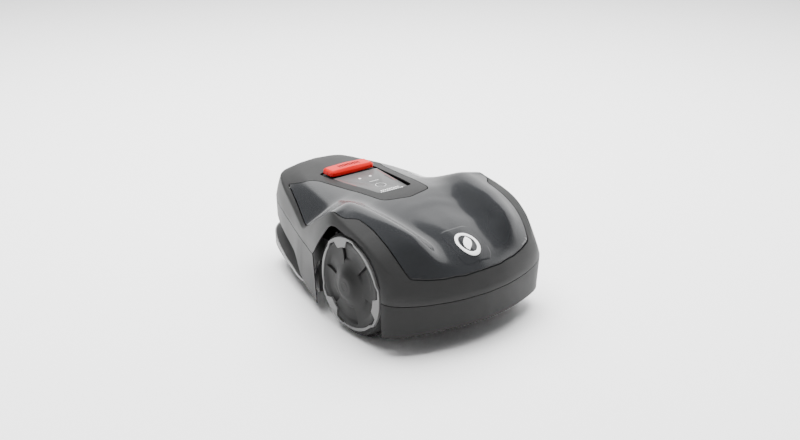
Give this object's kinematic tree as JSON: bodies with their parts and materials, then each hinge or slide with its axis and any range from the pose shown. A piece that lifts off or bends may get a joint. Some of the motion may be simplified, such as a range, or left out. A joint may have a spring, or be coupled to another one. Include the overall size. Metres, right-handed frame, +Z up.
{
  "type": "robotic lawn mower",
  "caption": "Low robotic lawn mower with a floating cover, two large rear drive wheels, front casters, a keypad with a stop bar and a pivoting-blade cutting disc.",
  "frame": {"origin": "middle of the bounding box, at ground level", "axes": "+Y from the wide rear with the drive wheels towards the narrow nose, +Z up, +X to the right when looking along +Y"},
  "size_m": [0.432, 0.632, 0.2487],
  "materials": {
    "badge": "polished",
    "battery_cover": "matte",
    "battery_cover_screw_1": "plated",
    "battery_cover_screw_2": "plated",
    "battery_pack": "satin",
    "blade_1": "ground",
    "blade_2": "ground",
    "blade_3": "ground",
    "blade_screw_1": "ground",
    "blade_screw_2": "ground",
    "blade_screw_3": "ground",
    "body_shell": "fine matte grain",
    "bumper_skirt": "fine matte grain",
    "caster_fork_left": "satin",
    "caster_fork_right": "satin",
    "caster_pin_left": "ground",
    "caster_pin_right": "ground",
    "caster_wheel_left": "satin",
    "caster_wheel_right": "satin",
    "charging_contact_left": "brushed",
    "charging_contact_right": "brushed",
    "chassis_screw_1": "plated",
    "chassis_screw_2": "plated",
    "chassis_screw_3": "plated",
    "chassis_screw_4": "plated",
    "chassis_seal": "matte",
    "console_housing": "matte",
    "cutting_disc": "satin",
    "cutting_motor": "satin",
    "front_post_left": "matte",
    "front_post_right": "matte",
    "gearmotor_left": "satin",
    "gearmotor_right": "satin",
    "height_carriage": "satin",
    "height_dial": "satin",
    "hood": "polished, metallic grey",
    "keypad_panel": "polished",
    "lower_chassis": "satin",
    "main_board": "solder resist",
    "nose_skirt": "fine matte grain",
    "rear_post_left": "matte",
    "rear_post_right": "matte",
    "skid_plate": "satin",
    "start_button": "polished",
    "stop_button": "satin",
    "stop_switch": "matte",
    "tyre_left": "moulded rubber",
    "tyre_right": "moulded rubber",
    "upper_chassis": "satin",
    "wheel_cap_left": "satin",
    "wheel_cap_right": "satin",
    "wheel_rim_left": "satin",
    "wheel_rim_right": "satin",
    "wheel_ring_left": "satin",
    "wheel_ring_right": "satin",
    "wheel_shaft_left": "ground",
    "wheel_shaft_right": "ground"
  },
  "bodies": {
    "chassis": {"lower_chassis": "lower_chassis", "upper_chassis": "upper_chassis", "chassis_seal": "chassis_seal", "battery_pack": "battery_pack", "battery_cover": "battery_cover", "battery_cover_screw_1": "battery_cover_screw_1", "battery_cover_screw_2": "battery_cover_screw_2", "chassis_screw_1": "chassis_screw_1", "chassis_screw_2": "chassis_screw_2", "chassis_screw_3": "chassis_screw_3", "chassis_screw_4": "chassis_screw_4", "main_board": "main_board", "gearmotor_left": "gearmotor_left", "gearmotor_right": "gearmotor_right", "charging_contact_left": "charging_contact_left", "charging_contact_right": "charging_contact_right", "console_housing": "console_housing", "keypad_panel": "keypad_panel", "stop_switch": "stop_switch"},
    "stop_bar": {"stop_button": "stop_button"},
    "start_key": {"start_button": "start_button"},
    "front_posts": {"front_post_left": "front_post_left", "front_post_right": "front_post_right"},
    "rear_posts": {"rear_post_left": "rear_post_left", "rear_post_right": "rear_post_right"},
    "cover": {"body_shell": "body_shell", "hood": "hood", "bumper_skirt": "bumper_skirt", "nose_skirt": "nose_skirt", "badge": "badge"},
    "wheel_left": {"tyre_left": "tyre_left", "wheel_rim_left": "wheel_rim_left", "wheel_cap_left": "wheel_cap_left", "wheel_ring_left": "wheel_ring_left", "wheel_shaft_left": "wheel_shaft_left"},
    "wheel_right": {"tyre_right": "tyre_right", "wheel_rim_right": "wheel_rim_right", "wheel_cap_right": "wheel_cap_right", "wheel_ring_right": "wheel_ring_right", "wheel_shaft_right": "wheel_shaft_right"},
    "caster_left": {"caster_fork_left": "caster_fork_left", "caster_pin_left": "caster_pin_left"},
    "caster_right": {"caster_fork_right": "caster_fork_right", "caster_pin_right": "caster_pin_right"},
    "caster_roller_left": {"caster_wheel_left": "caster_wheel_left"},
    "caster_roller_right": {"caster_wheel_right": "caster_wheel_right"},
    "dial": {"height_dial": "height_dial"},
    "carriage": {"height_carriage": "height_carriage", "cutting_motor": "cutting_motor"},
    "disc": {"cutting_disc": "cutting_disc", "blade_screw_1": "blade_screw_1", "blade_screw_2": "blade_screw_2", "blade_screw_3": "blade_screw_3"},
    "blade_a": {"blade_1": "blade_1"},
    "blade_b": {"blade_2": "blade_2"},
    "blade_c": {"blade_3": "blade_3"},
    "skid": {"skid_plate": "skid_plate"}
  },
  "joints": [
    {"name": "stop_press", "type": "slide", "parent": "chassis", "child": "stop_bar", "axis": [0, 0, -1], "range_m": [0, 0.004], "stiffness_N_per_m": 1500, "springref_m": -0.004},
    {"name": "start_press", "type": "slide", "parent": "chassis", "child": "start_key", "axis": [0, 0, -1], "range_m": [0, 0.0008], "stiffness_N_per_m": 600, "springref_m": -0.0015},
    {"name": "cover_sway", "type": "slide", "parent": "chassis", "child": "front_posts", "axis": [1, 0, 0], "range_m": [-0.003, 0.003], "stiffness_N_per_m": 4000},
    {"name": "cover_bump", "type": "slide", "parent": "front_posts", "child": "rear_posts", "axis": [0, 1, 0], "range_m": [-0.003, 0.003], "stiffness_N_per_m": 4000},
    {"name": "cover_lift", "type": "slide", "parent": "rear_posts", "child": "cover", "axis": [0, 0, 1], "range_m": [0, 0.008]},
    {"name": "wheel_left_spin", "type": "hinge", "parent": "chassis", "child": "wheel_left", "pos_m": [-0.18, -0.129, 0.11], "axis": [1, 0, 0], "continuous": true},
    {"name": "caster_left_swivel", "type": "hinge", "parent": "chassis", "child": "caster_left", "pos_m": [-0.07, 0.181, 0.07], "axis": [0, 0, 1], "continuous": true},
    {"name": "caster_left_roll", "type": "hinge", "parent": "caster_left", "child": "caster_roller_left", "pos_m": [-0.07, 0.163, 0.031], "axis": [1, 0, 0], "continuous": true},
    {"name": "wheel_right_spin", "type": "hinge", "parent": "chassis", "child": "wheel_right", "pos_m": [0.18, -0.129, 0.11], "axis": [1, 0, 0], "continuous": true},
    {"name": "caster_right_swivel", "type": "hinge", "parent": "chassis", "child": "caster_right", "pos_m": [0.07, 0.181, 0.07], "axis": [0, 0, 1], "continuous": true},
    {"name": "caster_right_roll", "type": "hinge", "parent": "caster_right", "child": "caster_roller_right", "pos_m": [0.07, 0.163, 0.031], "axis": [1, 0, 0], "continuous": true},
    {"name": "height_dial_turn", "type": "hinge", "parent": "chassis", "child": "dial", "pos_m": [0, 0.141, 0.08], "axis": [0, 0, 1], "range_deg": [0, 300]},
    {"name": "height_slide", "type": "slide", "parent": "chassis", "child": "carriage", "axis": [0, 0, 1], "range_m": [0, 0.025]},
    {"name": "disc_spin", "type": "hinge", "parent": "carriage", "child": "disc", "pos_m": [0, -0.001, 0.041], "axis": [0, 0, 1], "continuous": true},
    {"name": "skid_spin", "type": "hinge", "parent": "disc", "child": "skid", "pos_m": [0, -0.001, 0.036], "axis": [0, 0, 1], "continuous": true},
    {"name": "blade_a_pivot", "type": "hinge", "parent": "disc", "child": "blade_a", "pos_m": [-0.00836, 0.07856, 0.0398], "axis": [0, 0, 1], "range_deg": [-100, 100]},
    {"name": "blade_b_pivot", "type": "hinge", "parent": "disc", "child": "blade_b", "pos_m": [-0.06472, -0.04802, 0.0398], "axis": [0, 0, 1], "range_deg": [-100, 100]},
    {"name": "blade_c_pivot", "type": "hinge", "parent": "disc", "child": "blade_c", "pos_m": [0.07308, -0.03354, 0.0398], "axis": [0, 0, 1], "range_deg": [-100, 100]}
  ],
  "couplings": [
    {"joint": "height_dial_turn", "follows": "height_slide", "rad_per_m": 209.4}
  ]
}
